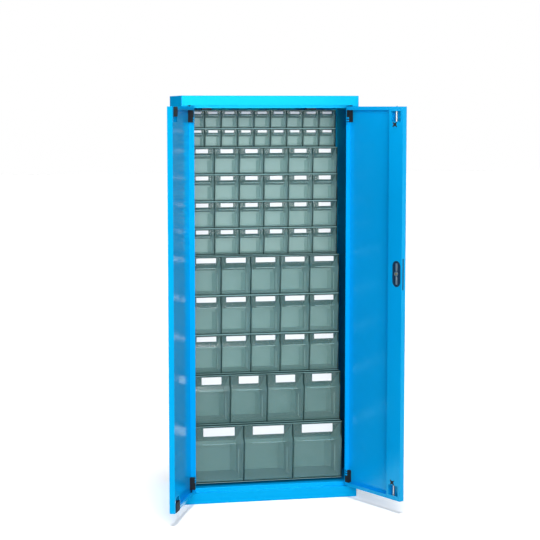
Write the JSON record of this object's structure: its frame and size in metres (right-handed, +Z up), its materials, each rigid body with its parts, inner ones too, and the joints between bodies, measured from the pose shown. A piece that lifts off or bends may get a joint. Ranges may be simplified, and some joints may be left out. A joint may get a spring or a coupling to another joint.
{
  "type": "storage cabinet",
  "caption": "Tall steel cabinet with two hinged lockable doors and rows of clear bins that tilt forward for small parts.",
  "frame": {"origin": "middle of the base on the floor, under the carcass", "axes": "+X to the right seen from the front, +Y to the back, +Z up"},
  "size_m": [0.9352, 0.6741, 1.64],
  "materials": {
    "blue_paint": "semi-gloss powder coat",
    "galvanised_steel": "zinc plated",
    "black_plastic": "moulded",
    "housing_plastic": "moulded, grey green",
    "clear_plastic": "clear polystyrene"
  },
  "bodies": {
    "carcass": {"left_side_panel": "blue_paint", "right_side_panel": "blue_paint", "back_panel": "blue_paint", "top_header": "blue_paint", "base_plinth": "blue_paint", "mounting_rails": "galvanised_steel", "housing_screws": "galvanised_steel", "frame_hinges": "galvanised_steel", "housing_row_01": "housing_plastic", "housing_row_02": "housing_plastic", "housing_row_03": "housing_plastic", "housing_row_04": "housing_plastic", "housing_row_05": "housing_plastic", "housing_row_06": "housing_plastic", "housing_row_07": "housing_plastic", "housing_row_08": "housing_plastic", "housing_row_09": "housing_plastic", "housing_row_10": "housing_plastic", "housing_row_11": "housing_plastic"},
    "left_door": {"left_door_skin": "blue_paint", "left_door_stiffener": "blue_paint", "left_door_hinge_blocks": "black_plastic", "left_door_catches": "black_plastic"},
    "right_door": {"right_door_skin": "blue_paint", "right_door_stiffener": "blue_paint", "right_door_hinge_blocks": "black_plastic", "rod_guides": "black_plastic", "lock_case": "black_plastic"},
    "lock_handle": {"lock_handle": "black_plastic", "lock_cam": "galvanised_steel"},
    "upper_lock_rod": {"upper_lock_rod": "galvanised_steel"},
    "lower_lock_rod": {"lower_lock_rod": "galvanised_steel"},
    "bins_row_01": {"bins_row_01": "clear_plastic"},
    "bins_row_02": {"bins_row_02": "clear_plastic"},
    "bins_row_03": {"bins_row_03": "clear_plastic"},
    "bins_row_04": {"bins_row_04": "clear_plastic"},
    "bins_row_05": {"bins_row_05": "clear_plastic"},
    "bins_row_06": {"bins_row_06": "clear_plastic"},
    "bin_row_07_place_1": {"bin_row_07_place_1": "clear_plastic"},
    "bin_row_07_place_2": {"bin_row_07_place_2": "clear_plastic"},
    "bin_row_07_place_3": {"bin_row_07_place_3": "clear_plastic"},
    "bin_row_07_place_4": {"bin_row_07_place_4": "clear_plastic"},
    "bin_row_07_place_5": {"bin_row_07_place_5": "clear_plastic"},
    "bin_row_08_place_1": {"bin_row_08_place_1": "clear_plastic"},
    "bin_row_08_place_2": {"bin_row_08_place_2": "clear_plastic"},
    "bin_row_08_place_3": {"bin_row_08_place_3": "clear_plastic"},
    "bin_row_08_place_4": {"bin_row_08_place_4": "clear_plastic"},
    "bin_row_08_place_5": {"bin_row_08_place_5": "clear_plastic"},
    "bin_row_09_place_1": {"bin_row_09_place_1": "clear_plastic"},
    "bin_row_09_place_2": {"bin_row_09_place_2": "clear_plastic"},
    "bin_row_09_place_3": {"bin_row_09_place_3": "clear_plastic"},
    "bin_row_09_place_4": {"bin_row_09_place_4": "clear_plastic"},
    "bin_row_09_place_5": {"bin_row_09_place_5": "clear_plastic"},
    "bin_row_10_place_1": {"bin_row_10_place_1": "clear_plastic"},
    "bin_row_10_place_2": {"bin_row_10_place_2": "clear_plastic"},
    "bin_row_10_place_3": {"bin_row_10_place_3": "clear_plastic"},
    "bin_row_10_place_4": {"bin_row_10_place_4": "clear_plastic"},
    "bin_row_11_place_1": {"bin_row_11_place_1": "clear_plastic"},
    "bin_row_11_place_2": {"bin_row_11_place_2": "clear_plastic"},
    "bin_row_11_place_3": {"bin_row_11_place_3": "clear_plastic"}
  },
  "joints": [
    {"name": "left_door_hinge", "type": "hinge", "parent": "carcass", "child": "left_door", "pos_m": [-0.3265, -0.181, 0.049], "axis": [0, 0, -1], "range_deg": [-112, 8]},
    {"name": "right_door_hinge", "type": "hinge", "parent": "carcass", "child": "right_door", "pos_m": [0.3265, -0.181, 0.049], "axis": [0, 0, 1], "range_deg": [-117, 3]},
    {"name": "lock_handle_turn", "type": "hinge", "parent": "right_door", "child": "lock_handle", "pos_m": [0.46399, -0.44203, 0.948], "axis": [-0.891, -0.454, 0], "range_deg": [0, 90]},
    {"name": "upper_rod_slide", "type": "slide", "parent": "right_door", "child": "upper_lock_rod", "axis": [0, 0, 1], "range_m": [0, 0.014]},
    {"name": "lower_rod_slide", "type": "slide", "parent": "right_door", "child": "lower_lock_rod", "axis": [0, 0, -1], "range_m": [0, 0.0145]},
    {"name": "bins_row_01_tilt", "type": "hinge", "parent": "carcass", "child": "bins_row_01", "pos_m": [0, 0.013, 1.518], "axis": [1, 0, 0], "range_deg": [0, 45]},
    {"name": "bins_row_02_tilt", "type": "hinge", "parent": "carcass", "child": "bins_row_02", "pos_m": [0, 0.013, 1.442], "axis": [1, 0, 0], "range_deg": [0, 45]},
    {"name": "bins_row_03_tilt", "type": "hinge", "parent": "carcass", "child": "bins_row_03", "pos_m": [0, -0.02, 1.332], "axis": [1, 0, 0], "range_deg": [0, 45]},
    {"name": "bins_row_04_tilt", "type": "hinge", "parent": "carcass", "child": "bins_row_04", "pos_m": [0, -0.02, 1.222], "axis": [1, 0, 0], "range_deg": [0, 45]},
    {"name": "bins_row_05_tilt", "type": "hinge", "parent": "carcass", "child": "bins_row_05", "pos_m": [0, -0.02, 1.112], "axis": [1, 0, 0], "range_deg": [0, 45]},
    {"name": "bins_row_06_tilt", "type": "hinge", "parent": "carcass", "child": "bins_row_06", "pos_m": [0, -0.02, 1.002], "axis": [1, 0, 0], "range_deg": [0, 45]},
    {"name": "bin_row_07_place_1_tilt", "type": "hinge", "parent": "carcass", "child": "bin_row_07_place_1", "pos_m": [-0.2452, -0.057, 0.841], "axis": [1, 0, 0], "range_deg": [0, 45]},
    {"name": "bin_row_07_place_2_tilt", "type": "hinge", "parent": "carcass", "child": "bin_row_07_place_2", "pos_m": [-0.1226, -0.057, 0.841], "axis": [1, 0, 0], "range_deg": [0, 45]},
    {"name": "bin_row_07_place_3_tilt", "type": "hinge", "parent": "carcass", "child": "bin_row_07_place_3", "pos_m": [0, -0.057, 0.841], "axis": [1, 0, 0], "range_deg": [0, 45]},
    {"name": "bin_row_07_place_4_tilt", "type": "hinge", "parent": "carcass", "child": "bin_row_07_place_4", "pos_m": [0.1226, -0.057, 0.841], "axis": [1, 0, 0], "range_deg": [0, 45]},
    {"name": "bin_row_07_place_5_tilt", "type": "hinge", "parent": "carcass", "child": "bin_row_07_place_5", "pos_m": [0.2452, -0.057, 0.841], "axis": [1, 0, 0], "range_deg": [0, 45]},
    {"name": "bin_row_08_place_1_tilt", "type": "hinge", "parent": "carcass", "child": "bin_row_08_place_1", "pos_m": [-0.2452, -0.057, 0.68], "axis": [1, 0, 0], "range_deg": [0, 45]},
    {"name": "bin_row_08_place_2_tilt", "type": "hinge", "parent": "carcass", "child": "bin_row_08_place_2", "pos_m": [-0.1226, -0.057, 0.68], "axis": [1, 0, 0], "range_deg": [0, 45]},
    {"name": "bin_row_08_place_3_tilt", "type": "hinge", "parent": "carcass", "child": "bin_row_08_place_3", "pos_m": [0, -0.057, 0.68], "axis": [1, 0, 0], "range_deg": [0, 45]},
    {"name": "bin_row_08_place_4_tilt", "type": "hinge", "parent": "carcass", "child": "bin_row_08_place_4", "pos_m": [0.1226, -0.057, 0.68], "axis": [1, 0, 0], "range_deg": [0, 45]},
    {"name": "bin_row_08_place_5_tilt", "type": "hinge", "parent": "carcass", "child": "bin_row_08_place_5", "pos_m": [0.2452, -0.057, 0.68], "axis": [1, 0, 0], "range_deg": [0, 45]},
    {"name": "bin_row_09_place_1_tilt", "type": "hinge", "parent": "carcass", "child": "bin_row_09_place_1", "pos_m": [-0.2452, -0.057, 0.519], "axis": [1, 0, 0], "range_deg": [0, 45]},
    {"name": "bin_row_09_place_2_tilt", "type": "hinge", "parent": "carcass", "child": "bin_row_09_place_2", "pos_m": [-0.1226, -0.057, 0.519], "axis": [1, 0, 0], "range_deg": [0, 45]},
    {"name": "bin_row_09_place_3_tilt", "type": "hinge", "parent": "carcass", "child": "bin_row_09_place_3", "pos_m": [0, -0.057, 0.519], "axis": [1, 0, 0], "range_deg": [0, 45]},
    {"name": "bin_row_09_place_4_tilt", "type": "hinge", "parent": "carcass", "child": "bin_row_09_place_4", "pos_m": [0.1226, -0.057, 0.519], "axis": [1, 0, 0], "range_deg": [0, 45]},
    {"name": "bin_row_09_place_5_tilt", "type": "hinge", "parent": "carcass", "child": "bin_row_09_place_5", "pos_m": [0.2452, -0.057, 0.519], "axis": [1, 0, 0], "range_deg": [0, 45]},
    {"name": "bin_row_10_place_1_tilt", "type": "hinge", "parent": "carcass", "child": "bin_row_10_place_1", "pos_m": [-0.22987, -0.091, 0.316], "axis": [1, 0, 0], "range_deg": [0, 45]},
    {"name": "bin_row_10_place_2_tilt", "type": "hinge", "parent": "carcass", "child": "bin_row_10_place_2", "pos_m": [-0.07662, -0.091, 0.316], "axis": [1, 0, 0], "range_deg": [0, 45]},
    {"name": "bin_row_10_place_3_tilt", "type": "hinge", "parent": "carcass", "child": "bin_row_10_place_3", "pos_m": [0.07662, -0.091, 0.316], "axis": [1, 0, 0], "range_deg": [0, 45]},
    {"name": "bin_row_10_place_4_tilt", "type": "hinge", "parent": "carcass", "child": "bin_row_10_place_4", "pos_m": [0.22987, -0.091, 0.316], "axis": [1, 0, 0], "range_deg": [0, 45]},
    {"name": "bin_row_11_place_1_tilt", "type": "hinge", "parent": "carcass", "child": "bin_row_11_place_1", "pos_m": [-0.20433, -0.12, 0.08], "axis": [1, 0, 0], "range_deg": [0, 45]},
    {"name": "bin_row_11_place_2_tilt", "type": "hinge", "parent": "carcass", "child": "bin_row_11_place_2", "pos_m": [0, -0.12, 0.08], "axis": [1, 0, 0], "range_deg": [0, 45]},
    {"name": "bin_row_11_place_3_tilt", "type": "hinge", "parent": "carcass", "child": "bin_row_11_place_3", "pos_m": [0.20433, -0.12, 0.08], "axis": [1, 0, 0], "range_deg": [0, 45]}
  ],
  "couplings": [
    {"joint": "lock_handle_turn", "follows": "upper_rod_slide", "rad_per_m": 112.19},
    {"joint": "lower_rod_slide", "follows": "upper_rod_slide", "ratio": 1}
  ]
}
